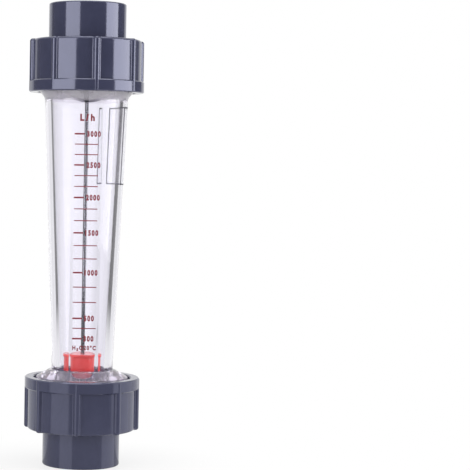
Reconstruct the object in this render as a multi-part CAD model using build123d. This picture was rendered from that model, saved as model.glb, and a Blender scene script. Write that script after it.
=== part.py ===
from build123d import *
import os
from math import sqrt

# Plastic-tube rotameter for 32 mm pipe. Millimetres.
# The meter stands on its lower pipe socket: the origin is the centre of that socket's mouth,
# +Z is up the tube in the direction of flow, and the flat reading face looks along -Y.
# Both ends carry the same nut, tailpiece and O-ring, so each is drawn for the lower end
# and turned over about the middle of the meter for the upper end.

# Overall stack
OVERALL_LENGTH = 239.0
SOCKET_PROTRUSION = 18.5        # tailpiece standing out of the nut
NUT_LENGTH = 27.3
NUT_END_WALL = 4.3
FLANGE_THICKNESS = 5.0

# Tailpiece with its solvent socket
PIPE_DIAMETER = 32.0
SOCKET_CLEARANCE = 0.1          # radial room for the cement film
SOCKET_WALL = 3.9
SOCKET_DEPTH = 22.0
FLOW_BORE_RADIUS = 13.0
SOCKET_EDGE_ROUND = 0.8
SOCKET_MOUTH_CHAMFER = 0.6

# Union thread, as its bare root and crest cylinders
THREAD_CREST_RADIUS = 25.0      # male thread on the tube's collars
THREAD_DEPTH = 1.2
THREAD_CLEARANCE = 0.2
THREAD_LEAD_IN = 0.6

# Union nut
NUT_WALL = 2.9
NUT_HOLE_CLEARANCE = 0.4
NUT_END_ROUND = 1.4
RIM_HEIGHT = 6.0
RIM_PROUD = 1.65
RIM_CHAMFER = 0.5
RIB_COUNT = 8
RIB_RADIUS = 1.7
RIB_PROUD = 1.85
RIB_ROOT_ROUND = 0.8
GATE_MARK_RADIUS = 1.1          # shallow moulding mark in the rim face, in line with a rib
GATE_MARK_DEPTH = 0.5
LOWER_NUT_TURN = -6.4           # degrees that each nut was tightened past a rib facing the reader
UPPER_NUT_TURN = 7.7

# O-ring, drawn as squeezed between the tailpiece and the tube
O_RING_SECTION = 2.65
O_RING_SQUEEZE = 0.2            # share of the section taken up by the joint
O_RING_SIDE_ROOM = 0.08

# Metering tube: radii are given at the seats of the two rod guides
BORE_RADIUS_LOW = 10.77
BORE_RADIUS_HIGH = 18.45
TUBE_WALL_LOW = 4.45
TUBE_WALL_HIGH = 3.75
FACET_WIDTH = 14.9
LIP_PROUD = 0.2                 # plain lip past the thread, over its root
LIP_BOTTOM = 16.9               # from the tube's end
LIP_TOP = 17.9                  # just inside the nut's mouth
LOWER_SHOULDER_RISE = 3.9       # from the lip, round the narrow end
LOWER_SHOULDER_TOP_RADIUS = 17.2
UPPER_SHOULDER_RISE = 5.4       # steeper, and running out on the wide end's wall
UPPER_SHOULDER_TOP_RADIUS = 20.0
SHOULDER_ROUND = 1.2

# Rod guides and guide rod
GUIDE_HEIGHT = 6.0
SEAT_LEDGE_LOW = 3.2
SEAT_LEDGE_HIGH = 0.95
SEAT_LEAD_IN = 0.4
GUIDE_FIT = 0.05
GUIDE_RIM = 1.4
GUIDE_HUB_RADIUS = 3.4
GUIDE_ARM_COUNT = 3
GUIDE_ARM_WIDTH = 1.6
GUIDE_ARM_INSET = 1.0           # arms stop short of both ends of the hub
ROD_DIAMETER = 3.0
ROD_FIT = 0.05
ROD_END_WALL = 1.5              # plastic left in the hub past the rod's end
ROD_TIP_CHAMFER = 0.4

# Rubber bumpers
BUMPER_RADIUS = 4.2
BUMPER_HEIGHT = 3.2
BUMPER_ROUND = 0.6

# Float
FLOAT_LENGTH = 21.0
FLOAT_RIM_RADIUS = 10.0
FLOAT_RIM_HEIGHT = 1.5
FLOAT_RIM_ROUND = 0.25
FLOAT_BODY_STEP = 0.4           # body is this much slimmer than the reading rim
FLOAT_BASE_ROUND = 3.0
FLOAT_WALL = 1.0
FLOAT_FLOOR = 1.2
FLOAT_ROD_CLEARANCE = 0.3
FLOAT_SPIGOT_DEPTH = 1.2
WEIGHT_FIT = 0.05
WEIGHT_HEADROOM = 0.1
WEIGHT_CHAMFER = 0.5

# A cutting shape runs this far past the face that it opens.
OVERCUT = 1.0
# Share of a thickness that each of its two edges may be rounded by.
FULL_ROUND = 0.45

# Levels, from the bottom up
nut_closed_end = SOCKET_PROTRUSION
flange_back = nut_closed_end + NUT_END_WALL
tube_face = flange_back + FLANGE_THICKNESS
nut_open_end = nut_closed_end + NUT_LENGTH
wall_bottom = tube_face + LIP_TOP
wall_top = OVERALL_LENGTH - wall_bottom
guide_top = tube_face + GUIDE_HEIGHT
float_base = guide_top + BUMPER_HEIGHT
float_top = float_base + FLOAT_LENGTH
cap_base = float_top - FLOAT_RIM_HEIGHT

# Radii
socket_bore_radius = PIPE_DIAMETER / 2 + SOCKET_CLEARANCE
socket_radius = socket_bore_radius + SOCKET_WALL
thread_root_radius = THREAD_CREST_RADIUS - THREAD_DEPTH
nut_bore_radius = THREAD_CREST_RADIUS + THREAD_CLEARANCE
nut_thread_inner_radius = nut_bore_radius - THREAD_DEPTH
flange_radius = nut_thread_inner_radius - THREAD_CLEARANCE
nut_radius = nut_bore_radius + NUT_WALL
rim_radius = nut_radius + RIM_PROUD
nut_hole_radius = socket_radius + NUT_HOLE_CLEARANCE
seat_radius_low = BORE_RADIUS_LOW + SEAT_LEDGE_LOW
seat_radius_high = BORE_RADIUS_HIGH + SEAT_LEDGE_HIGH
rod_radius = ROD_DIAMETER / 2
float_radius = FLOAT_RIM_RADIUS - FLOAT_BODY_STEP
float_bore_radius = rod_radius + FLOAT_ROD_CLEARANCE
weight_room_inner = float_bore_radius + FLOAT_WALL
weight_room_outer = float_radius - FLOAT_WALL

# The O-ring runs in the middle of the land that the wider end of the tube leaves for it.
o_ring_height = O_RING_SECTION * (1 - O_RING_SQUEEZE)
o_ring_width = O_RING_SECTION * (1 + O_RING_SQUEEZE / 2)
o_ring_radius = (seat_radius_high + flange_radius) / 2


def along_tube(low, high, level):
    """Value at a level of something that runs straight from low at one guide seat to high at the other."""
    share = (level - guide_top) / (OVERALL_LENGTH - 2 * guide_top)
    return low + (high - low) * share


def wall_radius(level):
    """Outside radius of the tapered tube."""
    low = BORE_RADIUS_LOW + TUBE_WALL_LOW
    high = BORE_RADIUS_HIGH + TUBE_WALL_HIGH
    return along_tube(low, high, level)


def facet_distance(level):
    """Distance from the axis to the flat face, for a flat of even width on the tapering wall."""
    return sqrt(wall_radius(level) ** 2 - (FACET_WIDTH / 2) ** 2)


def outline(*points):
    """Closed face in the radius-height plane."""
    return Plane.XZ * make_face(Polyline(*points, close=True))


def turned(face):
    """Face in the radius-height plane, turned about the meter's axis."""
    return revolve(face, Axis.Z, 360)


def corner(face, radius, level):
    """The corner of a radius-height face nearest to a radius and a level."""
    return face.vertices().sort_by_distance(Vector(radius, 0, level))[0]


def turned_over(shape):
    """The same piece at the upper end: turned end for end about the meter's middle."""
    middle = OVERALL_LENGTH / 2
    return Pos(0, 0, middle) * Rot(180, 0, 0) * Pos(0, 0, -middle) * shape


def facing_reader(shape, turn):
    """Turn a piece drawn with a rib on +X until that rib is at an angle from the reading face."""
    return Rot(0, 0, turn - 90) * shape


def pipe_socket():
    """Tailpiece: solvent socket, pipe stop, and a flange with its O-ring groove."""
    face = outline(
        (socket_bore_radius, 0),
        (socket_radius, 0),
        (socket_radius, flange_back),
        (flange_radius, flange_back),
        (flange_radius, tube_face),
        (FLOW_BORE_RADIUS, tube_face),
        (FLOW_BORE_RADIUS, SOCKET_DEPTH),
        (socket_bore_radius, SOCKET_DEPTH),
    )
    face = fillet(corner(face, socket_radius, 0), SOCKET_EDGE_ROUND)
    face = chamfer(corner(face, socket_bore_radius, 0), SOCKET_MOUTH_CHAMFER)
    groove_half_width = o_ring_width / 2 + O_RING_SIDE_ROOM
    groove_floor = tube_face - o_ring_height
    face -= outline(
        (o_ring_radius - groove_half_width, groove_floor),
        (o_ring_radius + groove_half_width, groove_floor),
        (o_ring_radius + groove_half_width, tube_face + OVERCUT),
        (o_ring_radius - groove_half_width, tube_face + OVERCUT),
    )
    return turned(face)


def o_ring():
    """O-ring squeezed to a flat-sided oval between groove floor and tube."""
    half_width = o_ring_width / 2
    face = outline(
        (o_ring_radius - half_width, tube_face - o_ring_height),
        (o_ring_radius + half_width, tube_face - o_ring_height),
        (o_ring_radius + half_width, tube_face),
        (o_ring_radius - half_width, tube_face),
    )
    face = fillet(face.vertices(), FULL_ROUND * o_ring_height)
    return turned(face)


def union_nut():
    """Ribbed nut with a plain rim at its open end, drawn with one rib on +X."""
    rib_centre_radius = nut_radius + RIB_PROUD - RIB_RADIUS
    ribs = [place * Circle(RIB_RADIUS) for place in PolarLocations(rib_centre_radius, RIB_COUNT)]
    section = Circle(nut_radius) + ribs
    rib_roots = [v for v in section.vertices() if v.center().length < nut_radius + RIB_PROUD / 2]
    section = fillet(rib_roots, RIB_ROOT_ROUND)
    nut = Pos(0, 0, nut_closed_end) * extrude(section, NUT_LENGTH - RIM_CHAMFER)
    closed_edges = nut.faces().sort_by(Axis.Z)[0].outer_wire().edges()
    nut = fillet(closed_edges, NUT_END_ROUND)

    rim_face = outline(
        (0, nut_open_end - RIM_HEIGHT),
        (rim_radius, nut_open_end - RIM_HEIGHT),
        (rim_radius, nut_open_end),
        (0, nut_open_end),
    )
    for level in (nut_open_end - RIM_HEIGHT, nut_open_end):
        rim_face = chamfer(corner(rim_face, rim_radius, level), RIM_CHAMFER)
    nut += turned(rim_face)

    bore_face = outline(
        (0, nut_closed_end - OVERCUT),
        (nut_hole_radius, nut_closed_end - OVERCUT),
        (nut_hole_radius, flange_back),
        (nut_bore_radius, flange_back),
        (nut_bore_radius, nut_open_end - THREAD_LEAD_IN),
        (nut_bore_radius + THREAD_LEAD_IN, nut_open_end),
        (nut_bore_radius + THREAD_LEAD_IN, nut_open_end + OVERCUT),
        (0, nut_open_end + OVERCUT),
    )
    nut -= turned(bore_face)

    mark_radius = (nut_bore_radius + rim_radius) / 2
    mark = Cylinder(GATE_MARK_RADIUS, GATE_MARK_DEPTH, align=(Align.CENTER, Align.CENTER, Align.MAX))
    mark_place = Rot(0, 0, -360 / RIB_COUNT) * Pos(mark_radius, 0, nut_open_end)
    return nut - mark_place * mark


def collar(shoulder_rise, shoulder_top_radius):
    """Threaded collar at the lower end: thread root, plain lip and sloping shoulder."""
    lip_radius = thread_root_radius + LIP_PROUD
    lip_bottom = tube_face + LIP_BOTTOM
    lip_top = tube_face + LIP_TOP
    shoulder_top = lip_top + shoulder_rise
    face = outline(
        (0, tube_face),
        (thread_root_radius, tube_face),
        (thread_root_radius, lip_bottom),
        (lip_radius, lip_bottom),
        (lip_radius, lip_top),
        (shoulder_top_radius, shoulder_top),
        (0, shoulder_top),
    )
    face = chamfer(corner(face, thread_root_radius, tube_face), THREAD_LEAD_IN)
    face = fillet(corner(face, lip_radius, lip_top), SHOULDER_ROUND)
    face = fillet(corner(face, shoulder_top_radius, shoulder_top), SHOULDER_ROUND)
    return turned(face)


def tapered_wall():
    """Outside of the tube between the collars, with the flat reading face down its front."""
    wall = turned(
        outline(
            (0, wall_bottom),
            (wall_radius(wall_bottom), wall_bottom),
            (wall_radius(wall_top), wall_top),
            (0, wall_top),
        )
    )
    clear_of_wall = 2 * wall_radius(wall_top)
    beyond_facet = Plane.YZ * make_face(
        Polyline(
            (-facet_distance(wall_bottom), wall_bottom),
            (-facet_distance(wall_top), wall_top),
            (-clear_of_wall, wall_top),
            (-clear_of_wall, wall_bottom),
            close=True,
        )
    )
    return wall - extrude(beyond_facet, clear_of_wall, both=True)


def flow_passage():
    """Room inside the tube: the tapered bore and the two seats for the rod guides."""
    guide_top_high = OVERALL_LENGTH - guide_top
    end = OVERALL_LENGTH - tube_face
    face = outline(
        (0, tube_face),
        (seat_radius_low + SEAT_LEAD_IN, tube_face),
        (seat_radius_low, tube_face + SEAT_LEAD_IN),
        (seat_radius_low, guide_top),
        (BORE_RADIUS_LOW, guide_top),
        (BORE_RADIUS_HIGH, guide_top_high),
        (seat_radius_high, guide_top_high),
        (seat_radius_high, end - SEAT_LEAD_IN),
        (seat_radius_high + SEAT_LEAD_IN, end),
        (0, end),
    )
    return turned(face)


def metering_tube():
    """The clear tube as it is moulded, in one piece."""
    lower_collar = collar(LOWER_SHOULDER_RISE, LOWER_SHOULDER_TOP_RADIUS)
    upper_collar = collar(UPPER_SHOULDER_RISE, UPPER_SHOULDER_TOP_RADIUS)
    return tapered_wall() + lower_collar + turned_over(upper_collar) - flow_passage()


def rod_guide(seat_radius):
    """Spider that holds the rod: rim in the tube's seat, arms, and a hub with a blind hole."""
    rim_outer = seat_radius - GUIDE_FIT
    rim_middle = rim_outer - GUIDE_RIM / 2
    guide = Circle(rim_outer) - Circle(rim_outer - GUIDE_RIM) + Circle(GUIDE_HUB_RADIUS)
    spider = extrude(guide, GUIDE_HEIGHT)
    arm = Box(
        rim_middle,
        GUIDE_ARM_WIDTH,
        GUIDE_HEIGHT - 2 * GUIDE_ARM_INSET,
        align=(Align.MIN, Align.CENTER, Align.MIN),
    )
    arm = fillet(arm.edges().filter_by(Axis.X), FULL_ROUND * GUIDE_ARM_WIDTH)
    for turn in range(GUIDE_ARM_COUNT):
        spider += Rot(0, 0, 90 + turn * 360 / GUIDE_ARM_COUNT) * Pos(0, 0, GUIDE_ARM_INSET) * arm
    spider -= Pos(0, 0, ROD_END_WALL) * Cylinder(
        rod_radius + ROD_FIT,
        GUIDE_HEIGHT,
        align=(Align.CENTER, Align.CENTER, Align.MIN),
    )
    return Pos(0, 0, tube_face) * spider


def guide_rod():
    """Straight rod from hub to hub."""
    end_level = tube_face + ROD_END_WALL
    length = OVERALL_LENGTH - 2 * end_level
    rod = Cylinder(rod_radius, length, align=(Align.CENTER, Align.CENTER, Align.MIN))
    rod = chamfer(rod.edges().filter_by(GeomType.CIRCLE), ROD_TIP_CHAMFER)
    return Pos(0, 0, end_level) * rod


def bumper():
    """Rubber ring pushed along the rod against the hub."""
    face = outline(
        (rod_radius + ROD_FIT, guide_top),
        (BUMPER_RADIUS, guide_top),
        (BUMPER_RADIUS, float_base),
        (rod_radius + ROD_FIT, float_base),
    )
    for level in (guide_top, float_base):
        face = fillet(corner(face, BUMPER_RADIUS, level), BUMPER_ROUND)
    return turned(face)


def float_shell():
    """Float body: a cup with a tube up its middle that runs on the rod."""
    face = outline(
        (float_bore_radius, float_base),
        (float_radius, float_base),
        (float_radius, cap_base),
        (weight_room_outer, cap_base),
        (weight_room_outer, float_base + FLOAT_FLOOR),
        (weight_room_inner, float_base + FLOAT_FLOOR),
        (weight_room_inner, cap_base),
        (float_bore_radius, cap_base),
    )
    face = fillet(corner(face, float_radius, float_base), FLOAT_BASE_ROUND)
    face = fillet(corner(face, weight_room_outer, float_base + FLOAT_FLOOR), FLOAT_BASE_ROUND - FLOAT_WALL)
    return turned(face)


def float_weight():
    """Stainless ring that loads the float, in the cup under the cap's spigot."""
    inner = weight_room_inner + WEIGHT_FIT
    outer = weight_room_outer - WEIGHT_FIT
    bottom = float_base + FLOAT_FLOOR
    top = cap_base - FLOAT_SPIGOT_DEPTH - WEIGHT_HEADROOM
    face = outline((inner, bottom), (outer, bottom), (outer, top), (inner, top))
    face = fillet(corner(face, outer, bottom), FLOAT_BASE_ROUND - FLOAT_WALL)
    face = chamfer(corner(face, outer, top), WEIGHT_CHAMFER)
    face = chamfer(corner(face, inner, top), WEIGHT_CHAMFER)
    return turned(face)


def float_cap():
    """Lid welded into the cup; its rim is the edge that the flow is read at."""
    spigot_outer = weight_room_outer - WEIGHT_FIT
    spigot_inner = spigot_outer - FLOAT_WALL
    face = outline(
        (float_bore_radius, cap_base),
        (spigot_inner, cap_base),
        (spigot_inner, cap_base - FLOAT_SPIGOT_DEPTH),
        (spigot_outer, cap_base - FLOAT_SPIGOT_DEPTH),
        (spigot_outer, cap_base),
        (FLOAT_RIM_RADIUS, cap_base),
        (FLOAT_RIM_RADIUS, float_top),
        (float_bore_radius, float_top),
    )
    for level in (cap_base, float_top):
        face = fillet(corner(face, FLOAT_RIM_RADIUS, level), FLOAT_RIM_ROUND)
    return turned(face)


def pieces():
    """Every node of the meter at rest: nuts tight, float down on its bumper."""
    socket = pipe_socket()
    ring = o_ring()
    nut = union_nut()
    stop = bumper()
    return {
        "metering_tube": metering_tube(),
        "lower_socket": socket,
        "upper_socket": turned_over(socket),
        "lower_o_ring": ring,
        "upper_o_ring": turned_over(ring),
        "lower_union_nut": facing_reader(nut, LOWER_NUT_TURN),
        "upper_union_nut": facing_reader(turned_over(nut), UPPER_NUT_TURN),
        "lower_rod_guide": rod_guide(seat_radius_low),
        "upper_rod_guide": turned_over(rod_guide(seat_radius_high)),
        "guide_rod": guide_rod(),
        "lower_bumper": stop,
        "upper_bumper": turned_over(stop),
        "float_shell": float_shell(),
        "float_weight": float_weight(),
        "float_cap": float_cap(),
    }


os.makedirs("parts", exist_ok=True)
for node, solid in pieces().items():
    export_step(solid, f"parts/{node}.step")
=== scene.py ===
import math

import bmesh
import bpy
from mathutils import Matrix, Vector


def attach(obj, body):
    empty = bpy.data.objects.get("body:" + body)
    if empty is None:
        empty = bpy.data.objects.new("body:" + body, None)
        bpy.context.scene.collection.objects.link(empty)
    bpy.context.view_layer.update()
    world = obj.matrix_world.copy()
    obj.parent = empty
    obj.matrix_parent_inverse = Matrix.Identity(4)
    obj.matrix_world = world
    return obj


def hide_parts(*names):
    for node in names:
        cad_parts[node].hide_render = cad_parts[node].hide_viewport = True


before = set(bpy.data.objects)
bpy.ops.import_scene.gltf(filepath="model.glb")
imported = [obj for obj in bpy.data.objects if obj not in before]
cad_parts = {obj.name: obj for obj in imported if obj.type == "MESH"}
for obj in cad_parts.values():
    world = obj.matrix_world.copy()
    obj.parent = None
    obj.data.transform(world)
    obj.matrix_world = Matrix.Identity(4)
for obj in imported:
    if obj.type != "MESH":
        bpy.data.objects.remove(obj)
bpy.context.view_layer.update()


# Metering tube. One injection moulding in clear rigid plastic: the bore widens upwards, the front is
# planed by a flat reading face, and a threaded collar with a sloping shoulder closes each end.
# The wall is thick, so the bore shows through it as if it were swollen by a lens.

MM = 0.001
METER_LENGTH = 239.0
TUBE_FACE = 27.8
DRY_GAP = 0.04                  # film of air where the tube meets its neighbours
LIP_BOTTOM = 44.7
LOWER_SHOULDER = (45.7, 17.2, 49.6)   # level of the lip's top, then radius and level of the slope's top
UPPER_SHOULDER = (45.7, 20.0, 51.1)   # the same, counted from the upper end of the meter
SHOULDER_ROUND = 1.2
SHOULDER_ROOT_BLEND = 0.9
GUIDE_TOP = 33.8
WALL_RADIUS_LOW = 15.22
WALL_RADIUS_HIGH = 22.2
BORE_RADIUS_LOW = 10.77
BORE_RADIUS_HIGH = 18.45
SEAT_RADIUS_LOW = 13.97
SEAT_RADIUS_HIGH = 19.4
SEAT_LEAD_IN = 0.4
FLAT_WIDTH = 14.9
FLAT_EDGE_ROUND = 0.28
THREAD_ROOT_RADIUS = 23.8
THREAD_LEAD_IN = 0.6
LIP_RADIUS = 24.0
LIP_EDGE = 0.1                  # distance of the second row of points that keeps the lip's edge crisp
FLAT_COLUMNS = 15
WALL_COLUMNS = 150
SHOULDER_POINTS = 30
KEPT_SHOULDER_POINTS = 24       # the same, once the stretch for the blend at its root is cut off
BLEND_STEPS = 8
WALL_STEPS = 24
BORE_STEPS = 20

THREAD_PITCH = 3.0
THREAD_DEPTH = 1.2
RIDGE_ROOT_WIDTH = 1.7
RIDGE_CREST_WIDTH = 0.9
RIDGE_SINK = 0.06
RIDGE_TAPER = 9.0               # a ridge is full size from a ninth of its length on
RIDGE_STUB = 0.004              # share of its length by which its tips are cut short of a point
MALE_THREAD_START = 30.0
MALE_THREAD_TURNS = 4.4

LOWER_CLARITY = 0.93            # the thick collars are cloudier than the wall: partly real frosting, partly painted light for light piped and reflected inside them; the upper one so much that it is nearly as light against the dim room as the real one
UPPER_CLARITY = 0.75            # that it is nearly as light against the dim room as the real one
LOWER_CLEARING = (LOWER_SHOULDER[2] - 1.5, LOWER_SHOULDER[2] + 1)   # levels between which it changes
UPPER_CLEARING = (METER_LENGTH - UPPER_SHOULDER[2], METER_LENGTH - UPPER_SHOULDER[2] + 2.5)
WALL_SHINE = 0.15               # share of a collar's shine that the thin wall has


def place(tree, kind, inputs, **settings):
    """Add a node whose inputs are each given a value or another node's output."""
    node = tree.nodes.new(kind)
    for setting, value in settings.items():
        setattr(node, setting, value)
    for socket, value in inputs.items():
        if isinstance(value, bpy.types.NodeSocket):
            tree.links.new(value, node.inputs[socket])
        else:
            node.inputs[socket].default_value = value
    return node


def reckon(tree, operation, *values):
    """What a maths node makes of one to three values."""
    return place(tree, "ShaderNodeMath", dict(enumerate(values)), operation=operation).outputs[0]


def combine(tree, **parts):
    """A vector from its X, Y and Z, each 0 where it isn't given."""
    return place(tree, "ShaderNodeCombineXYZ", parts).outputs[0]


def between(low, high, level):
    """Value at a level of something that runs straight from one guide seat to the other."""
    return low + (high - low) * (level - GUIDE_TOP) / (METER_LENGTH - 2 * GUIDE_TOP)


def wall_radius(level):
    return between(WALL_RADIUS_LOW, WALL_RADIUS_HIGH, level)


def flat_distance(level):
    """Distance from the axis to the plane of the reading face."""
    bottom, top = LOWER_SHOULDER[0], METER_LENGTH - UPPER_SHOULDER[0]
    low, high = (math.sqrt(wall_radius(end) ** 2 - (FLAT_WIDTH / 2) ** 2) for end in (bottom, top))
    return low + (high - low) * (level - bottom) / (top - bottom)


def on_tube(angle, radius, level):
    """Point at an angle from the reader's side, turning towards the reader's right, in metres."""
    return Vector((radius * math.sin(angle), -radius * math.cos(angle), level)) * MM


def tube_columns():
    """Where the tube's lengthwise lines run: shares of the flat, then shares of the way round the wall."""
    flat_end = 1 - 2 * FLAT_EDGE_ROUND / FLAT_WIDTH
    columns = [("flat", flat_end * (2 * i / (FLAT_COLUMNS - 1) - 1)) for i in range(FLAT_COLUMNS)]
    wall_start = FLAT_EDGE_ROUND / (2 * math.pi * wall_radius(METER_LENGTH / 2))
    for i in range(WALL_COLUMNS):
        columns.append(("wall", wall_start + (1 - 2 * wall_start) * i / (WALL_COLUMNS - 1)))
    return columns


def column_angle(column, level):
    """Angle of a lengthwise line; inside the collars it keeps the angle it has at the shoulder."""
    kind, share = column
    level = min(max(level, LOWER_SHOULDER[2]), METER_LENGTH - UPPER_SHOULDER[0])
    distance = flat_distance(level)
    half_width = math.sqrt(wall_radius(level) ** 2 - distance ** 2)
    if kind == "flat":
        return math.atan2(share * half_width, distance)
    edge = math.atan2(half_width, distance)
    return edge + share * (2 * math.pi - 2 * edge)


def column_radius(column, level):
    if column[0] == "flat":
        return flat_distance(level) / math.cos(column_angle(column, level))
    return wall_radius(level)


def rounded(points, radii, steps=7):
    """A line of points with some of its corners turned into arcs."""
    line = [points[0]]
    for before, corner, after, radius in zip(points, points[1:], points[2:], radii):
        if not radius:
            line.append(corner)
            continue
        to_before = (Vector(before) - Vector(corner)).normalized()
        to_after = (Vector(after) - Vector(corner)).normalized()
        half = to_before.angle(to_after) / 2
        centre = Vector(corner) + (to_before + to_after).normalized() * radius / math.sin(half)
        start = Vector(corner) + to_before * radius / math.tan(half) - centre
        end = Vector(corner) + to_after * radius / math.tan(half) - centre
        sweep = start.angle_signed(end)
        for step in range(steps + 1):
            turn = Matrix.Rotation(-sweep * step / steps, 2)
            line.append(tuple(centre + turn @ start))
    line.append(points[-1])
    return line


def spaced(line, count):
    """The same line with its points evenly spaced."""
    lengths = [0.0]
    for a, b in zip(line, line[1:]):
        lengths.append(lengths[-1] + (Vector(b) - Vector(a)).length)
    points = []
    for i in range(count):
        goal = lengths[-1] * i / (count - 1)
        k = max(1, next((k for k, reach in enumerate(lengths) if reach >= goal - 1e-9), len(lengths) - 1))
        share = (goal - lengths[k - 1]) / (lengths[k] - lengths[k - 1])
        points.append(tuple(Vector(line[k - 1]).lerp(Vector(line[k]), share)))
    return points


def collar_line(column, upper):
    """Outline of one end at a column, from the tube's end face to where the wall leaves the shoulder.

    Levels count from the end of the meter that the collar is at.
    """
    lip_top, slope_radius, slope_top = UPPER_SHOULDER if upper else LOWER_SHOULDER
    thread = [
        (THREAD_ROOT_RADIUS - THREAD_LEAD_IN, TUBE_FACE + DRY_GAP),
        (THREAD_ROOT_RADIUS, TUBE_FACE + THREAD_LEAD_IN),
        (THREAD_ROOT_RADIUS, LIP_BOTTOM),
        (LIP_RADIUS, LIP_BOTTOM),
    ]
    slope = rounded(
        [
            (LIP_RADIUS, LIP_BOTTOM + LIP_EDGE),
            (LIP_RADIUS, lip_top),
            (slope_radius, slope_top),
            (0, slope_top),
        ],
        [SHOULDER_ROUND, SHOULDER_ROUND],
    )

    def room(point):
        level = METER_LENGTH - point[1] if upper else point[1]
        return point[0] - column_radius(column, level)

    inside = next(k for k, point in enumerate(slope) if room(point) < 0)
    outer, inner = slope[inside - 1], slope[inside]
    share = room(outer) / (room(outer) - room(inner))
    meeting = tuple(Vector(outer).lerp(Vector(inner), share))
    shoulder = spaced(slope[:inside] + [meeting], SHOULDER_POINTS)
    kept = [p for p in shoulder if (Vector(p) - Vector(meeting)).length > SHOULDER_ROOT_BLEND]
    blend_start = kept[-1]
    blend_level = meeting[1] + SHOULDER_ROOT_BLEND
    true_level = METER_LENGTH - blend_level if upper else blend_level
    blend_end = (column_radius(column, true_level), blend_level)
    blend = []
    for step in range(1, BLEND_STEPS + 1):
        t = step / BLEND_STEPS
        first = Vector(blend_start).lerp(Vector(meeting), t)
        second = Vector(meeting).lerp(Vector(blend_end), t)
        blend.append(tuple(first.lerp(second, t)))
    return thread + spaced(kept, KEPT_SHOULDER_POINTS) + blend


def tube_outline(column):
    """Closed outline of the tube's wall at one column: up the outside, then down the bore."""
    lower = collar_line(column, upper=False)
    upper = [(radius, METER_LENGTH - level) for radius, level in collar_line(column, upper=True)]
    wall_start, wall_end = lower[-1][1], upper[-1][1]
    wall_levels = [wall_start + (wall_end - wall_start) * i / WALL_STEPS for i in range(1, WALL_STEPS)]
    wall = [(column_radius(column, level), level) for level in wall_levels]
    top = METER_LENGTH - TUBE_FACE
    seat_top = METER_LENGTH - GUIDE_TOP
    bore = [
        (SEAT_RADIUS_HIGH + SEAT_LEAD_IN, top - DRY_GAP),
        (SEAT_RADIUS_HIGH, top - SEAT_LEAD_IN),
        (SEAT_RADIUS_HIGH, seat_top - DRY_GAP),
    ]
    for i in range(BORE_STEPS + 1):
        level = seat_top - DRY_GAP - (seat_top - GUIDE_TOP - 2 * DRY_GAP) * i / BORE_STEPS
        bore.append((between(BORE_RADIUS_LOW, BORE_RADIUS_HIGH, level), level))
    bore += [
        (SEAT_RADIUS_LOW, GUIDE_TOP + DRY_GAP),
        (SEAT_RADIUS_LOW, TUBE_FACE + SEAT_LEAD_IN),
        (SEAT_RADIUS_LOW + SEAT_LEAD_IN, TUBE_FACE + DRY_GAP),
    ]
    return lower + wall + upper[::-1] + bore


def smooth_to(mesh, degrees):
    """Shade a mesh smooth, with edges sharper than an angle left crisp."""
    for polygon in mesh.polygons:
        polygon.use_smooth = True
    mesh.set_sharp_from_angle(angle=math.radians(degrees))


def add_piece(name, mesh):
    piece = bpy.data.objects.new(name, mesh)
    bpy.context.scene.collection.objects.link(piece)
    return piece


def moulded_tube():
    """The tube and its collars, as lengthwise outlines skinned to a closed shell."""
    shell = bmesh.new()
    lines = []
    for column in tube_columns():
        line = []
        for radius, level in tube_outline(column):
            line.append(shell.verts.new(on_tube(column_angle(column, level), radius, level)))
        lines.append(line)
    for here, there in zip(lines, lines[1:] + lines[:1]):
        for k in range(len(here)):
            after = (k + 1) % len(here)
            shell.faces.new((here[k], there[k], there[after], here[after]))
    bmesh.ops.recalc_face_normals(shell, faces=shell.faces)
    mesh = bpy.data.meshes.new("metering_tube_moulding")
    shell.to_mesh(mesh)
    shell.free()
    return add_piece("metering_tube_moulding", mesh)


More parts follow.
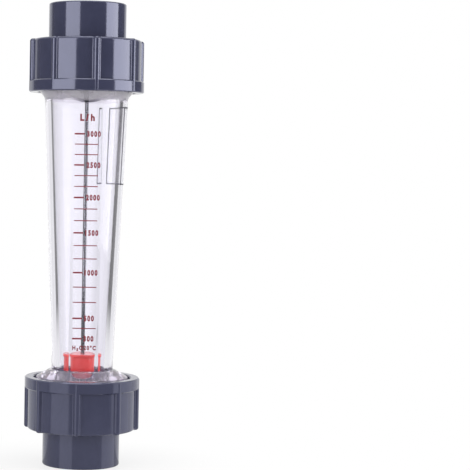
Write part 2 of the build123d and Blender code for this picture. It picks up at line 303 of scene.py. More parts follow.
def thread_ridge_tree():
    """Node tree for one thread ridge: a tapering profile carried along a helix."""
    tree = bpy.data.node_groups.new("Union thread ridge", "GeometryNodeTree")
    interface = tree.interface
    profile_sizes = ("Base radius", "Depth", "Sink", "Root width", "Crest width")
    for label in profile_sizes + ("Pitch", "Turns", "Start level", "Phase"):
        interface.new_socket(label, in_out="INPUT", socket_type="NodeSocketFloat")
    interface.new_socket("Plastic", in_out="INPUT", socket_type="NodeSocketMaterial")
    interface.new_socket("Ridge", in_out="OUTPUT", socket_type="NodeSocketGeometry")
    given = tree.nodes.new("NodeGroupInput").outputs

    def product(a, b):
        return reckon(tree, "MULTIPLY", a, b)

    helix = place(
        tree,
        "GeometryNodeCurveSpiral",
        {
            "Resolution": 80,
            "Rotations": given["Turns"],
            "Start Radius": given["Base radius"],
            "End Radius": given["Base radius"],
            "Height": product(given["Pitch"], given["Turns"]),
        },
    )
    upright = place(tree, "GeometryNodeSetCurveNormal", {"Curve": helix.outputs["Curve"]}, mode="Z_UP")
    moved = place(
        tree,
        "GeometryNodeTransform",
        {
            "Geometry": upright.outputs["Curve"],
            "Translation": combine(tree, Z=given["Start level"]),
            "Rotation": combine(tree, Z=given["Phase"]),
        },
    )
    sunk = product(given["Sink"], -1.0)
    corners = {}
    for label, reach, width, side in (
        ("Point 1", sunk, given["Root width"], -0.5),
        ("Point 2", given["Depth"], given["Crest width"], -0.5),
        ("Point 3", given["Depth"], given["Crest width"], 0.5),
        ("Point 4", sunk, given["Root width"], 0.5),
    ):
        corners[label] = combine(tree, X=reach, Y=product(width, side))
    profile = place(tree, "GeometryNodeCurvePrimitiveQuadrilateral", corners, mode="POINTS")
    along = tree.nodes.new("GeometryNodeSplineParameter").outputs["Factor"]
    from_start = reckon(tree, "ADD", along, RIDGE_STUB)
    to_end = reckon(tree, "ADD", product(along, -1.0), 1 + RIDGE_STUB)
    rise, fall = product(from_start, RIDGE_TAPER), product(to_end, RIDGE_TAPER)
    full = reckon(tree, "MINIMUM", reckon(tree, "MINIMUM", rise, fall), 1.0)
    ridge = place(
        tree,
        "GeometryNodeCurveToMesh",
        {
            "Curve": moved.outputs["Geometry"],
            "Profile Curve": profile.outputs["Curve"],
            "Scale": full,
            "Fill Caps": True,
        },
    )
    real = place(tree, "GeometryNodeRealizeInstances", {"Geometry": ridge.outputs["Mesh"]})
    dressed = place(
        tree,
        "GeometryNodeSetMaterial",
        {"Geometry": real.outputs["Geometry"], "Material": given["Plastic"]},
    )
    place(tree, "NodeGroupOutput", {"Ridge": dressed.outputs["Geometry"]})
    return tree


def settle(piece):
    """Replace a piece's mesh by what its modifiers make of it, and drop the modifiers."""
    bpy.context.view_layer.update()
    evaluated = piece.evaluated_get(bpy.context.evaluated_depsgraph_get())
    mesh = bpy.data.meshes.new_from_object(evaluated)
    piece.modifiers.clear()
    piece.data = mesh
    mesh.name = piece.name
    return piece


def grow(name, tree, sizes):
    """A piece whose mesh a node tree makes from named sizes."""
    piece = add_piece(name, bpy.data.meshes.new(name))
    modifier = piece.modifiers.new(name, "NODES")
    modifier.node_group = tree
    sockets = {item.name: item.identifier for item in tree.interface.items_tree if item.in_out == "INPUT"}
    for label, value in sizes.items():
        modifier[sockets[label]] = value
    settle(piece)
    finish = next(value for value in sizes.values() if isinstance(value, bpy.types.Material))
    piece.data.materials.clear()
    piece.data.materials.append(finish)
    for polygon in piece.data.polygons:
        polygon.material_index = 0
    return piece


def new_material(name):
    """An empty material, its node tree and the coordinates of the piece that wears it."""
    material = bpy.data.materials.new(name)
    material.use_nodes = True
    tree = material.node_tree
    tree.nodes.clear()
    return material, tree, tree.nodes.new("ShaderNodeTexCoord").outputs["Object"]


def noise(tree, where, scale, detail):
    inputs = {"Vector": where, "Scale": scale, "Detail": detail}
    return place(tree, "ShaderNodeTexNoise", inputs).outputs["Fac"]


def bumps(tree, height, strength, depth):
    """A bumpy surface, its depth in metres."""
    inputs = {"Height": height, "Strength": strength, "Distance": depth}
    return place(tree, "ShaderNodeBump", inputs).outputs[0]


def ramp(tree, value, start, end, low, high, smooth=False):
    """What runs from low to high while a value runs from start to end."""
    inputs = {0: value, 1: start, 2: end, 3: low, 4: high}
    kind = "SMOOTHSTEP" if smooth else "LINEAR"
    return place(tree, "ShaderNodeMapRange", inputs, interpolation_type=kind).outputs[0]


def colour_mix(tree, share, first, second):
    inputs = {0: share, 6: first, 7: second}
    return place(tree, "ShaderNodeMix", inputs, data_type="RGBA").outputs[2]


def clear_plastic():
    """Clear moulded plastic with the faint lavender of the real one and fine flow lines along it.
    Its collars are cloudier: partly real frosting, partly painted light for light piped and reflected
    inside them.
    """
    material, tree, where = new_material("Clear moulded plastic")
    drawn = place(tree, "ShaderNodeMapping", {"Vector": where, "Scale": (900, 900, 60)})
    flow = noise(tree, drawn.outputs[0], 1.0, 2.0)
    tint = colour_mix(tree, flow, (0.915, 0.905, 0.965, 1), (0.945, 0.935, 0.98, 1))
    level = place(tree, "ShaderNodeSeparateXYZ", {0: where}).outputs["Z"]
    # Cloudier collars: partly real frosting, partly painted light for light piped and reflected inside
    # them.
    start, end = (limit * MM for limit in LOWER_CLEARING)
    above_lower = ramp(tree, level, start, end, LOWER_CLARITY, 1.0, smooth=True)
    start, end = (limit * MM for limit in UPPER_CLEARING)
    below_upper = ramp(tree, level, start, end, 1.0, UPPER_CLARITY, smooth=True)
    clarity = reckon(tree, "MINIMUM", above_lower, below_upper)
    thin = ramp(tree, clarity, LOWER_CLARITY, 1.0, 0.0, 1.0)
    upper_end = reckon(tree, "GREATER_THAN", level, METER_LENGTH / 2 * MM)
    # Violet of the collars' cloudy share, part of their painted light.
    collar = colour_mix(tree, upper_end, (0.90, 0.82, 1.0, 1), (0.955, 0.925, 1.0, 1))
    glass = place(
        tree,
        "ShaderNodeBsdfPrincipled",
        {
            "Base Color": colour_mix(tree, thin, collar, tint),
            "Roughness": ramp(tree, flow, 0.0, 1.0, 0.008, 0.03),
            "IOR": 1.56,
            "Specular Tint": ramp(tree, thin, 0.0, 1.0, 1.0, WALL_SHINE),
            "Transmission Weight": clarity,
            "Normal": bumps(tree, flow, 0.25, 0.00001),
        },
    )
    light_path = tree.nodes.new("ShaderNodeLightPath")
    open_to_lamps = place(tree, "ShaderNodeBsdfTransparent", {"Color": (0.9, 0.89, 0.94, 1)})
    shown = place(
        tree,
        "ShaderNodeMixShader",
        {0: light_path.outputs["Is Shadow Ray"], 1: glass.outputs[0], 2: open_to_lamps.outputs[0]},
    )
    place(tree, "ShaderNodeOutputMaterial", {"Surface": shown.outputs[0]})
    return material


clear_tube_plastic = clear_plastic()
metering_tube = moulded_tube()
metering_tube.data.materials.append(clear_tube_plastic)
thread_ridge = thread_ridge_tree()
male_ridge_sizes = {
    "Base radius": THREAD_ROOT_RADIUS * MM,
    "Depth": THREAD_DEPTH * MM,
    "Sink": RIDGE_SINK * MM,
    "Root width": RIDGE_ROOT_WIDTH * MM,
    "Crest width": RIDGE_CREST_WIDTH * MM,
    "Pitch": THREAD_PITCH * MM,
    "Turns": MALE_THREAD_TURNS,
    "Phase": 0.0,
    "Plastic": clear_tube_plastic,
}
upper_thread_start = METER_LENGTH - MALE_THREAD_START - THREAD_PITCH * MALE_THREAD_TURNS
for end, start in (("lower", MALE_THREAD_START), ("upper", upper_thread_start)):
    sizes = dict(male_ridge_sizes, **{"Start level": start * MM})
    ridge = grow(end + "_male_thread", thread_ridge, sizes)
    union = metering_tube.modifiers.new("Thread moulded on", "BOOLEAN")
    union.operation = "UNION"
    union.solver = "EXACT"
    union.object = ridge
    settle(metering_tube)
    bpy.data.objects.remove(ridge)
smooth_to(metering_tube.data, degrees=24)
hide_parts("metering_tube")
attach(metering_tube, "meter")


# Printed scale. Dark crimson ink is pad-printed on the flat reading face after moulding: marks for the
# flow in litres an hour, their numbers, the unit above them and the reference liquid below.
# The spacing of the marks follows the widening bore.

INK_THICKNESS = 0.03
HEIGHT_AT_NO_FLOW = 49.94       # a mark's level in mm is a cubic of its flow in thousands of litres
HEIGHT_SLOPE = 59.314
HEIGHT_BEND = -9.469
HEIGHT_TWIST = 1.071
MAJOR_MARK = (-5.62, -0.58, 0.80)  # left end and right end at level 0, line width
MINOR_MARK = (-5.45, 6.45, 0.48)
MARK_SKEW = 0.0042              # how far the marks stand to the left for each millimetre up

# Print: left end and height in mm, how narrow against the typeface's own width, spacing, added weight.
NUMBER = {"left": -0.05, "height": 3.05, "width": 0.74, "tracking": 1.34, "weight": 0.056}
UNIT = {"left": -3.7, "height": 3.7, "width": 0.92, "tracking": 1.5, "weight": 0.048}
LIQUID = {"left": -5.7, "height": 2.9, "width": 0.82, "tracking": 1.3, "weight": 0.05}
UNIT_LEVEL = 179.9
LIQUID_LEVEL = 62.0


def scale_mark_tree():
    """Node tree for a row of marks whose levels follow the meter's flow law, laid on the leaning flat."""
    tree = bpy.data.node_groups.new("Scale marks", "GeometryNodeTree")
    interface = tree.interface
    interface.new_socket("Count", in_out="INPUT", socket_type="NodeSocketInt")
    mark_sizes = ("First flow", "Flow step", "Left end", "Right end", "Line width", "Thickness")
    for label in mark_sizes + ("Flat at base", "Flat lean"):
        interface.new_socket(label, in_out="INPUT", socket_type="NodeSocketFloat")
    interface.new_socket("Ink", in_out="INPUT", socket_type="NodeSocketMaterial")
    interface.new_socket("Marks", in_out="OUTPUT", socket_type="NodeSocketGeometry")
    given = tree.nodes.new("NodeGroupInput").outputs

    def times_plus(a, b, c):
        return reckon(tree, "MULTIPLY_ADD", a, b, c)

    index = tree.nodes.new("GeometryNodeInputIndex").outputs[0]
    flow = times_plus(index, given["Flow step"], given["First flow"])
    level = times_plus(flow, HEIGHT_TWIST * MM, HEIGHT_BEND * MM)
    level = times_plus(flow, level, HEIGHT_SLOPE * MM)
    level = times_plus(flow, level, HEIGHT_AT_NO_FLOW * MM)
    slope = reckon(tree, "TANGENT", given["Flat lean"])
    depth = times_plus(level, slope, given["Flat at base"])
    ends = reckon(tree, "ADD", given["Left end"], given["Right end"])
    middle = times_plus(level, -MARK_SKEW, reckon(tree, "MULTIPLY", ends, 0.5))
    spot = combine(tree, X=middle, Y=reckon(tree, "MULTIPLY", depth, -1.0), Z=level)
    row = place(tree, "GeometryNodeMeshLine", {"Count": given["Count"]})
    set_out = place(
        tree, "GeometryNodeSetPosition", {"Geometry": row.outputs["Mesh"], "Position": spot}
    )
    length = reckon(tree, "SUBTRACT", given["Right end"], given["Left end"])
    size = combine(tree, X=length, Y=given["Thickness"], Z=given["Line width"])
    stroke = place(tree, "GeometryNodeMeshCube", {"Size": size})
    copies = place(
        tree,
        "GeometryNodeInstanceOnPoints",
        {
            "Points": set_out.outputs["Geometry"],
            "Instance": stroke.outputs["Mesh"],
            "Rotation": combine(tree, X=given["Flat lean"]),
        },
    )
    real = place(tree, "GeometryNodeRealizeInstances", {"Geometry": copies.outputs["Instances"]})
    inked = place(
        tree,
        "GeometryNodeSetMaterial",
        {"Geometry": real.outputs["Geometry"], "Material": given["Ink"]},
    )
    place(tree, "NodeGroupOutput", {"Marks": inked.outputs["Geometry"]})
    return tree


def scale_ink():
    """Dark crimson printing ink, a little uneven in strength."""
    material, tree, where = new_material("Crimson scale ink")
    patches = noise(tree, where, 1400.0, 3.0)
    ink = place(
        tree,
        "ShaderNodeBsdfPrincipled",
        {
            "Base Color": colour_mix(tree, patches, (0.17, 0.008, 0.02, 1), (0.29, 0.014, 0.03, 1)),
            "Roughness": ramp(tree, patches, 0.0, 1.0, 0.35, 0.6),
        },
    )
    place(tree, "ShaderNodeOutputMaterial", {"Surface": ink.outputs[0]})
    return material


def join_meshes(name, pieces):
    """Fuse several pieces' meshes into one piece."""
    whole = bmesh.new()
    for piece in pieces:
        whole.from_mesh(piece.data)
    mesh = bpy.data.meshes.new(name)
    whole.to_mesh(mesh)
    whole.free()
    mesh.materials.append(pieces[0].data.materials[0])
    for piece in pieces:
        bpy.data.objects.remove(piece)
    return add_piece(name, mesh)


def mark_level(flow):
    thousands = flow / 1000
    bend = HEIGHT_BEND + thousands * HEIGHT_TWIST
    return HEIGHT_AT_NO_FLOW + thousands * (HEIGHT_SLOPE + thousands * bend)


flat_lean = math.atan((flat_distance(200) - flat_distance(0)) / 200)
crimson_ink = scale_ink()


def printed(words, level, left, height, width, tracking, weight):
    """Printed characters on the reading face, with their middle at a level."""
    curve = bpy.data.curves.new(words, "FONT")
    curve.body = words
    curve.size = 1.0
    curve.space_character = tracking
    curve.offset = weight
    curve.extrude = 0.5
    curve.resolution_u = 3
    piece = add_piece(words, curve)
    bpy.context.view_layer.update()
    mesh = bpy.data.meshes.new_from_object(piece.evaluated_get(bpy.context.evaluated_depsgraph_get()))
    bpy.data.objects.remove(piece)
    bottom = min(v.co.y for v in mesh.vertices)
    top = max(v.co.y for v in mesh.vertices)
    start = min(v.co.x for v in mesh.vertices)
    size = height / (top - bottom)
    face = flat_distance(level) + INK_THICKNESS / 2
    lean = Matrix.Rotation(math.pi / 2 + flat_lean, 4, "X")
    stretch = Matrix.Diagonal((size * width, size, INK_THICKNESS, 1))
    centre = Matrix.Translation((-start, -(top + bottom) / 2, 0))
    spot = Matrix.Translation((left, -face, level))
    mesh.transform(Matrix.Scale(MM, 4) @ spot @ lean @ stretch @ centre)
    mesh.materials.clear()
    mesh.materials.append(crimson_ink)
    return add_piece(words, mesh)


mark_tree = scale_mark_tree()
mark_rows = [                   # how many, the first one's flow, the flow from one to the next, kind
    (6, 500, 500, MAJOR_MARK),
    (5, 2000 / 3, 500, MINOR_MARK),
    (5, 2500 / 3, 500, MINOR_MARK),
    (1, 300, 100, MAJOR_MARK),
    (1, 400, 100, MINOR_MARK),
]
rows = []
for count, first, step, (left, right, line_width) in mark_rows:
    sizes = {
        "Count": count,
        "First flow": first / 1000,
        "Flow step": step / 1000,
        "Left end": left * MM,
        "Right end": right * MM,
        "Line width": line_width * MM,
        "Thickness": INK_THICKNESS * MM,
        "Flat at base": (flat_distance(0) + INK_THICKNESS / 2) * MM,
        "Flat lean": flat_lean,
        "Ink": crimson_ink,
    }
    rows.append(grow("marks", mark_tree, sizes))
scale_marks = join_meshes("scale_marks", rows)
numbered_flows = (300, 500, 1000, 1500, 2000, 2500, 3000)
words = [printed(str(flow), mark_level(flow), **NUMBER) for flow in numbered_flows]
words.append(printed("L/h", UNIT_LEVEL, **UNIT))
words.append(printed("H₂O20°C", LIQUID_LEVEL, **LIQUID))
scale_numbers = join_meshes("scale_numbers", words)
for print_piece in (scale_marks, scale_numbers):
    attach(print_piece, "meter")


# Side label. A strip of clear self-adhesive film on the right of the tube, printed with a plain dark
# border and left bare inside. It bends round the wall and stays at an even distance from it.

LABEL_START_ANGLE = 62.8
LABEL_END_ANGLE = 135.5
LABEL_BOTTOM = 145.8
LABEL_TOP = 186.0
LABEL_BORDER = 0.75
LABEL_BORDER_ANGLE = 3.0
LABEL_STEPS = 36
FILM_GAP = 0.01                 # from the wall
FILM_THICKNESS = 0.05
BORDER_GAP = 0.015 + FILM_THICKNESS
BORDER_THICKNESS = 0.03


def label_sheet(name, gap, thickness, material, border_only=False):
    """A sheet bent round the tube's wall, whole or only its border."""
    angles = [LABEL_START_ANGLE, LABEL_START_ANGLE + LABEL_BORDER_ANGLE]
    inner_end = LABEL_END_ANGLE - LABEL_BORDER_ANGLE
    span = inner_end - angles[1]
    angles += [angles[1] + span * i / LABEL_STEPS for i in range(1, LABEL_STEPS + 1)]
    angles.append(LABEL_END_ANGLE)
    levels = [LABEL_BOTTOM, LABEL_BOTTOM + LABEL_BORDER, LABEL_TOP - LABEL_BORDER, LABEL_TOP]
    sheet = bmesh.new()
    grid = []
    for angle in angles:
        turn = math.radians(angle)
        grid.append([sheet.verts.new(on_tube(turn, wall_radius(level) + gap, level)) for level in levels])
    last = len(angles) - 2
    for i in range(len(angles) - 1):
        for k in range(len(levels) - 1):
            if border_only and k == 1 and i not in (0, last):
                continue
            sheet.faces.new((grid[i][k], grid[i + 1][k], grid[i + 1][k + 1], grid[i][k + 1]))
    loose = [v for v in sheet.verts if not v.link_faces]
    bmesh.ops.delete(sheet, geom=loose, context="VERTS")
    mesh = bpy.data.meshes.new(name)
    sheet.to_mesh(mesh)
    sheet.free()
    mesh.materials.append(material)
    piece = add_piece(name, mesh)
    thicken = piece.modifiers.new("Film thickness", "SOLIDIFY")
    thicken.thickness = thickness * MM
    thicken.offset = 1.0
    settle(piece)
    smooth_to(piece.data, degrees=30)
    return piece


def label_border_ink():
    """Near-black screen-printed ink, slightly mottled."""
    material, tree, where = new_material("Label border ink")
    patches = noise(tree, where, 900.0, 3.0)
    shade = colour_mix(tree, patches, (0.05, 0.05, 0.065, 1), (0.13, 0.128, 0.15, 1))
    ink = place(tree, "ShaderNodeBsdfPrincipled", {"Base Color": shade, "Roughness": 0.45})
    place(tree, "ShaderNodeOutputMaterial", {"Surface": ink.outputs[0]})
    return material


def label_film():
    """Clear film whose adhesive leaves it very slightly milky."""
    material, tree, where = new_material("Clear label film")
    cloud = ramp(tree, noise(tree, where, 500.0, 4.0), 0.0, 1.0, 0.05, 0.12)
    film = place(
        tree,
        "ShaderNodeBsdfPrincipled",
        {"Base Color": (0.86, 0.86, 0.88, 1), "Roughness": 0.35, "Alpha": cloud},
    )
    place(tree, "ShaderNodeOutputMaterial", {"Surface": film.outputs[0]})
    return material


label_backing = label_sheet("label_film", FILM_GAP, FILM_THICKNESS, label_film())
label_border = label_sheet(
    "label_border", BORDER_GAP, BORDER_THICKNESS, label_border_ink(), border_only=True
)
for sheet_piece, finish in ((label_backing, "clear_plastic"), (label_border, "grey_plastic")):
    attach(sheet_piece, "meter")


# Rod guides. Off-white moulded spiders pressed into a seat in each end of the tube. Three arms carry a
# hub with a blind hole that the guide rod stands in.


def dress(node, material):
    """Give a CAD node its finished material."""
    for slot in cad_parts[node].material_slots:
        slot.material = material


def moulded_plastic(
    name, dark, light, patch_scale, gloss, grain_scale, grain_depth, specular=0.5, sheen=(1, 1, 1)
):
    """Opaque moulded plastic: soft patches of colour and gloss over a fine even grain."""
    material, tree, where = new_material(name)
    patches = noise(tree, where, patch_scale, 4.0)
    grain = noise(tree, where, grain_scale, 2.0)
    plastic = place(
        tree,
        "ShaderNodeBsdfPrincipled",
        {
            "Base Color": colour_mix(tree, patches, (*dark, 1), (*light, 1)),
            "Roughness": ramp(tree, patches, 0.3, 0.7, *gloss),
            "IOR": 1.53,
            "Specular IOR Level": specular,
            "Specular Tint": (*sheen, 1),
            "Normal": bumps(tree, grain, 1.0, grain_depth * MM),
        },
    )
    place(tree, "ShaderNodeOutputMaterial", {"Surface": plastic.outputs[0]})
    return material


natural_plastic = moulded_plastic(
    "Off-white moulded plastic",
    dark=(0.62, 0.62, 0.60),
    light=(0.72, 0.72, 0.70),
    patch_scale=260.0,
    gloss=(0.38, 0.55),
    grain_scale=2600.0,
    grain_depth=0.006,
)
dress("lower_rod_guide", natural_plastic)
dress("upper_rod_guide", natural_plastic)


# Guide rod. A straight 3 mm rod of bright-drawn stainless steel on the tube's axis. Each of its ends
# stands in the hub of a rod guide.


def drawn_steel(name, along_scale, round_scale, gloss):
    """Bright stainless with fine lines along its length or round it."""
    material, tree, where = new_material(name)
    stretch = (round_scale, round_scale, along_scale)
    drawn = place(tree, "ShaderNodeMapping", {"Vector": where, "Scale": stretch})
    lines = noise(tree, drawn.outputs[0], 1.0, 3.0)
    steel = place(
        tree,
        "ShaderNodeBsdfPrincipled",
        {
            "Base Color": colour_mix(tree, lines, (0.11, 0.11, 0.116, 1), (0.16, 0.16, 0.168, 1)),
            "Metallic": 1.0,
            "Roughness": ramp(tree, lines, 0.0, 1.0, *gloss),
            "Normal": bumps(tree, lines, 0.2, 0.000003),
        },
    )
    place(tree, "ShaderNodeOutputMaterial", {"Surface": steel.outputs[0]})
    return material


rod_steel = drawn_steel(
    "Bright-drawn stainless rod", along_scale=30.0, round_scale=5200.0, gloss=(0.08, 0.14)
)
dress("guide_rod", rod_steel)


# Bumpers. Black rubber rings pushed along the rod against the hubs. The float lands on the lower one
# and is stopped by the upper one.


def black_rubber():
    """Black rubber with a dusty bloom and a fine uneven skin."""
    material, tree, where = new_material("Black rubber")
    skin = noise(tree, where, 1800.0, 4.0)
    rubber = place(
        tree,
        "ShaderNodeBsdfPrincipled",
        {
            "Base Color": colour_mix(tree, skin, (0.012, 0.012, 0.013, 1), (0.04, 0.04, 0.042, 1)),
            "Roughness": 0.62,
            "Normal": bumps(tree, skin, 0.7, 0.00002),
        },
    )
    place(tree, "ShaderNodeOutputMaterial", {"Surface": rubber.outputs[0]})
    return material


rubber_skin = black_rubber()
dress("lower_bumper", rubber_skin)
dress("upper_bumper", rubber_skin)


# Float. A red moulded cup with a tube up its middle that runs on the rod, loaded by a stainless ring and
# closed by a welded lid. The lid's sharp rim is the edge that the flow is read at.

float_red = moulded_plastic(
    "Red moulded plastic",
    dark=(0.59, 0.046, 0.042),
    light=(0.70, 0.065, 0.059),
    patch_scale=180.0,
    gloss=(0.12, 0.2),
    grain_scale=1800.0,
    grain_depth=0.004,
)
dress("float_shell", float_red)
dress("float_cap", float_red)
turned_steel = drawn_steel(
    "Turned stainless ring", along_scale=3800.0, round_scale=60.0, gloss=(0.25, 0.4)
)
dress("float_weight", turned_steel)


# Pipe sockets and their O-rings. Dark blue-grey tailpieces with a plain socket that the pipe is cemented
# into. A black O-ring in the flange's groove seals against the end of the tube.

union_grey = moulded_plastic(
    "Dark blue-grey moulded plastic",
    dark=(0.029, 0.031, 0.062),
    light=(0.044, 0.047, 0.088),
    patch_scale=120.0,
    gloss=(0.08, 0.13),
    grain_scale=2400.0,
    grain_depth=0.004,
    specular=1.0,
    sheen=(0.76, 0.78, 1.0),
)
for socket_node in ("lower_socket", "upper_socket"):
    dress(socket_node, union_grey)
for ring_node in ("lower_o_ring", "upper_o_ring"):
    dress(ring_node, rubber_skin)


# Union nuts. Eight half-round ribs for the hand, a plain rim at the open end and a coarse thread inside,
# moulded in the same dark grey. Each nut draws its tailpiece against the tube.

NUT_BORE_RADIUS = 25.2
FEMALE_THREAD_START = 31.5
FEMALE_THREAD_TURNS = 4.1
FEMALE_ROOT_WIDTH = 1.45
FEMALE_CREST_WIDTH = 0.75

dress("lower_union_nut", union_grey)
dress("upper_union_nut", union_grey)
female_ridge_sizes = dict(
    male_ridge_sizes,
    **{
        "Base radius": NUT_BORE_RADIUS * MM,
        "Depth": -THREAD_DEPTH * MM,
        "Sink": -RIDGE_SINK * MM,
        "Root width": FEMALE_ROOT_WIDTH * MM,
        "Crest width": FEMALE_CREST_WIDTH * MM,
        "Turns": FEMALE_THREAD_TURNS,
        "Plastic": union_grey,
    },
)
upper_female_start = METER_LENGTH - MALE_THREAD_START - THREAD_PITCH * (MALE_THREAD_TURNS + 0.5)
for end, start in (("lower", FEMALE_THREAD_START), ("upper", upper_female_start)):
    sizes = dict(female_ridge_sizes, **{"Start level": start * MM})
    nut_thread = grow(end + "_nut_thread", thread_ridge, sizes)
    smooth_to(nut_thread.data, degrees=30)
    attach(nut_thread, end + "_nut")


# Floor. A plain pale table top, white to the camera away from the meter, that keeps the soft shadow
# of the socket standing on it. In the meter's reflections it is as light or dim as the room beyond.

FLOOR_RADIUS = 6.0
SHADOW_NEAR = 0.025
SHADOW_FAR = 0.09
TABLE_NEAR = 0.38               # distances between which the light part behind the meter ends
TABLE_EDGE = 0.85
TABLE_BEHIND = (1.7, 2.0)       # radians from the reader's side between which that part begins
LIT_PATCHES = (                 # light wedges that the meter reflects: angle, half width, apex, light
    (-48.0, 21.0, (-1.5, -12.3), 1.0),
    (-97.0, 27.0, (-1.5, -12.3), 0.5),
    (91.0, 28.0, (7.2, -15.7), 1.0),
    (18.0, 47.0, (0.0, 0.0), 0.36),
)
PATCH_EDGE = 2.0                # degrees to each side of a wedge's edge over which it fades
CLOSE_BY = (0.16, 0.20)         # distances between which the lit ring round the meter's foot ends
CLOSE_LIGHT = 0.5
SHADOW_WHITE = 0.8              # how far the shadow is lifted towards white
EDGE_LEFT = 0.665               # cosine of the angle from straight behind where the dim side begins
EDGE_RIGHT = 0.725
EDGE_SOFTNESS = 0.075
BACKDROP_SIDE = 0.87            # how light the backdrop is to each side of straight behind
BACKDROP_MIDDLE = (0.90, 0.99)  # cosines of the angles between which it gets fully white
CEILING = (0.35, 0.65)          # sines of the heights above the horizon between which it gets white
DIM_LEFT = 0.22
DIM_RIGHT = 0.17
DIM_END = (0.12, 0.30)          # cosines where the dim side ends for light that comes through the tube
LEFT_TO_RIGHT = 0.4             # sine within which the left's values turn into the right's


def room_tree():
    """Node tree for how light the room is towards a direction: white straight behind the meter and
    overhead, dim all round else. Light that comes through the tube finds it dim only at the sides."""
    tree = bpy.data.node_groups.new("Room light", "ShaderNodeTree")
    tree.interface.new_socket("Direction", in_out="INPUT", socket_type="NodeSocketVector")
    tree.interface.new_socket("Light", in_out="OUTPUT", socket_type="NodeSocketFloat")
    given = tree.nodes.new("NodeGroupInput").outputs
    parts = place(tree, "ShaderNodeSeparateXYZ", {0: given["Direction"]}).outputs
    rise = parts["Z"]
    level = combine(tree, X=parts["X"], Y=parts["Y"])
    level = place(tree, "ShaderNodeVectorMath", {0: level}, operation="NORMALIZE").outputs[0]
    parts = place(tree, "ShaderNodeSeparateXYZ", {0: level}).outputs
    across = (parts["X"], -LEFT_TO_RIGHT, LEFT_TO_RIGHT)
    dim = ramp(tree, *across, DIM_LEFT, DIM_RIGHT, smooth=True)
    edge = ramp(tree, *across, EDGE_LEFT, EDGE_RIGHT, smooth=True)
    full = reckon(tree, "ADD", edge, EDGE_SOFTNESS)
    white = ramp(tree, parts["Y"], *BACKDROP_MIDDLE, BACKDROP_SIDE, 1.0)
    walls = ramp(tree, parts["Y"], edge, full, dim, white, smooth=True)
    beyond = ramp(tree, parts["Y"], *DIM_END, BACKDROP_SIDE, 0.0, smooth=True)
    through = tree.nodes.new("ShaderNodeLightPath").outputs["Is Transmission Ray"]
    walls = reckon(tree, "MAXIMUM", walls, reckon(tree, "MULTIPLY", beyond, through))
    light = ramp(tree, rise, *CEILING, walls, 1.0, smooth=True)
    place(tree, "NodeGroupOutput", {"Light": light})
    return tree


def value_mix(tree, share, first, second):
    inputs = {0: share, 2: first, 3: second}
    return place(tree, "ShaderNodeMix", inputs, data_type="FLOAT").outputs[0]


def pale_floor(room):
    """Matt pale table top that the camera sees as white further off. Reflected in the meter it takes
    the room's light and some lit wedges; through the tube it is light all round."""
    material, tree, where = new_material("Pale floor")
    speckle = noise(tree, where, 40.0, 3.0)
    shade = colour_mix(tree, speckle, (0.80, 0.80, 0.805, 1), (0.83, 0.83, 0.835, 1))
    matt = place(tree, "ShaderNodeBsdfPrincipled", {"Base Color": shade, "Roughness": 0.4})
    reach = place(tree, "ShaderNodeVectorMath", {0: where}, operation="LENGTH").outputs["Value"]
    far = ramp(tree, reach, SHADOW_NEAR, SHADOW_FAR, SHADOW_WHITE, 1.0, smooth=True)
    light_path = tree.nodes.new("ShaderNodeLightPath").outputs
    through = light_path["Is Transmission Ray"]
    share = reckon(tree, "MULTIPLY", light_path["Is Camera Ray"], far)
    white = place(tree, "ShaderNodeEmission", {"Color": (1, 1, 1, 1), "Strength": 1.0})
    seen = place(
        tree, "ShaderNodeMixShader", {0: share, 1: matt.outputs[0], 2: white.outputs[0]}
    )
    towards = tree.nodes.new("ShaderNodeGroup")
    towards.node_tree = room
    tree.links.new(where, towards.inputs["Direction"])
    parts = place(tree, "ShaderNodeSeparateXYZ", {0: where}).outputs

    def angle_about(x, y):
        """Angle round a point on the table in mm, from the reader's side."""
        across = reckon(tree, "SUBTRACT", parts["X"], x * MM)
        forward = reckon(tree, "SUBTRACT", y * MM, parts["Y"])
        return reckon(tree, "ARCTAN2", across, forward)

    reflected = reckon(tree, "SUBTRACT", 1.0, through)
    patches = [towards.outputs["Light"]]
    for centre, half_width, apex, brightness in LIT_PATCHES:
        aside = reckon(tree, "SUBTRACT", angle_about(*apex), math.radians(centre))
        aside = reckon(tree, "ABSOLUTE", aside)
        inner, outer = math.radians(half_width - PATCH_EDGE), math.radians(half_width + PATCH_EDGE)
        lit = ramp(tree, aside, inner, outer, brightness, 0.0)
        patches.append(reckon(tree, "MULTIPLY", lit, reflected))
    close = ramp(tree, reach, *CLOSE_BY, CLOSE_LIGHT, 0.0)
    patches.append(reckon(tree, "MULTIPLY", close, reflected))
    behind = reckon(tree, "ABSOLUTE", angle_about(0, 0))
    behind = ramp(tree, behind, *TABLE_BEHIND, 0.0, BACKDROP_SIDE)
    behind = value_mix(tree, through, behind, BACKDROP_SIDE)
    near = ramp(tree, reach, TABLE_NEAR, TABLE_EDGE, 1.0, 0.0, smooth=True)
    patches.append(reckon(tree, "MULTIPLY", near, behind))
    lightest = patches[0]
    for patch in patches[1:]:
        lightest = reckon(tree, "MAXIMUM", lightest, patch)
    mirrored = place(tree, "ShaderNodeEmission", {"Color": (1, 1, 1, 1), "Strength": lightest})
    bent = reckon(tree, "MAXIMUM", through, light_path["Is Glossy Ray"])
    shown = place(
        tree, "ShaderNodeMixShader", {0: bent, 1: seen.outputs[0], 2: mirrored.outputs[0]}
    )
    place(tree, "ShaderNodeOutputMaterial", {"Surface": shown.outputs[0]})
    return material


disc = bmesh.new()
bmesh.ops.create_circle(disc, cap_ends=True, segments=96, radius=FLOOR_RADIUS)
floor_mesh = bpy.data.meshes.new("floor")
disc.to_mesh(floor_mesh)
disc.free()
room_light = room_tree()
floor_mesh.materials.append(pale_floor(room_light))
floor = add_piece("floor", floor_mesh)


# Studio. Two soft boxes, one on each side of the camera, and a wide soft box overhead. Angles are
# from the reader's side, positive to the reader's right. The world is the same room as the floor's.

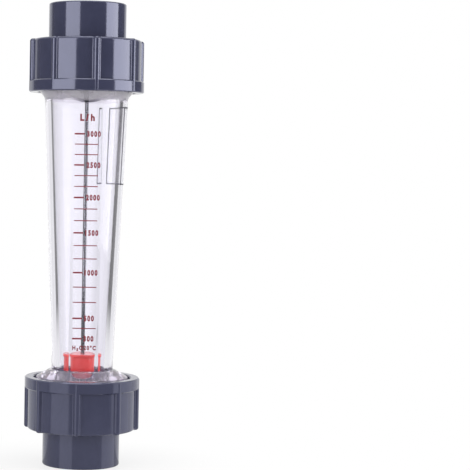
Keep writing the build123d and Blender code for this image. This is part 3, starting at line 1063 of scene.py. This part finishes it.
SIDE_BOX = {"distance": 0.9, "level": 0.30, "width": 0.74, "height": 0.62}
TOP_BOX = {"distance": 0.1, "level": 1.3, "width": 1.0, "height": 1.0}
LAMP_AIM = 0.12                 # level that they all point at
MATT_LIGHT = 0.36               # how light the room is to matt surfaces, the same from every side


def soft_box(name, angle, distance, level, width, height, watts):
    lamp = bpy.data.lights.new(name, "AREA")
    lamp.shape = "RECTANGLE"
    lamp.size = width
    lamp.size_y = height
    lamp.energy = watts
    box = bpy.data.objects.new(name, lamp)
    bpy.context.scene.collection.objects.link(box)
    turn = math.radians(angle)
    box.location = (distance * math.sin(turn), -distance * math.cos(turn), level)
    towards = Vector((0, 0, LAMP_AIM)) - box.location
    box.rotation_euler = towards.to_track_quat("-Z", "Y").to_euler()
    return box


soft_box("left_soft_box", angle=-47.0, watts=4.5, **SIDE_BOX)
soft_box("right_soft_box", angle=77.0, watts=6.0, **SIDE_BOX)
soft_box("top_soft_box", angle=0.0, watts=5.0, **TOP_BOX)

world = bpy.data.worlds.new("Studio")
bpy.context.scene.world = world
world.use_nodes = True
sky = world.node_tree
sky.nodes.clear()
towards = sky.nodes.new("ShaderNodeGroup")
towards.node_tree = room_light
sky.links.new(sky.nodes.new("ShaderNodeTexCoord").outputs["Generated"], towards.inputs["Direction"])
light_path = sky.nodes.new("ShaderNodeLightPath").outputs
ambient = value_mix(sky, light_path["Is Diffuse Ray"], towards.outputs["Light"], MATT_LIGHT)
strength = value_mix(sky, light_path["Is Camera Ray"], ambient, 1.0)
backdrop = place(sky, "ShaderNodeBackground", {"Color": (1, 1, 1, 1), "Strength": strength})
place(sky, "ShaderNodeOutputWorld", {"Surface": backdrop.outputs[0]})


# Camera. A long lens a little above the middle of the meter and two degrees to the reader's left. The
# frame is shifted so that the meter stands in its left third, and tipped so that it leans to the right.

CAMERA_DISTANCE = 0.890
CAMERA_ANGLE = -2.0             # degrees
CAMERA_LEVEL = 0.1538
CAMERA_LENS = 131.3             # mm
FRAME_SHIFT = 0.3208            # of the frame's width
AIM_LEVEL = 0.1195
PICTURE_LEAN = 0.95             # degrees

camera_data = bpy.data.cameras.new("camera")
camera_data.lens = CAMERA_LENS
camera_data.shift_x = FRAME_SHIFT
camera_data.clip_end = 100
camera = bpy.data.objects.new("camera", camera_data)
bpy.context.scene.collection.objects.link(camera)
bpy.context.scene.camera = camera
turn = math.radians(CAMERA_ANGLE)
camera.location = (CAMERA_DISTANCE * math.sin(turn), -CAMERA_DISTANCE * math.cos(turn), CAMERA_LEVEL)
aim = Vector((0, 0, AIM_LEVEL))
ahead = (aim - camera.location).normalized()
right = ahead.cross(Vector((0, 0, 1))).normalized()
up = right.cross(ahead)
lean = math.radians(PICTURE_LEAN)
leaning_right = right * math.cos(lean) + up * math.sin(lean)
leaning_up = up * math.cos(lean) - right * math.sin(lean)
camera.rotation_euler = Matrix((leaning_right, leaning_up, -ahead)).transposed().to_euler()

bpy.context.scene.view_settings.view_transform = "Standard"
bpy.context.scene.cycles.max_bounces = 20
bpy.context.scene.cycles.glossy_bounces = 12
bpy.context.scene.cycles.transmission_bounces = 20
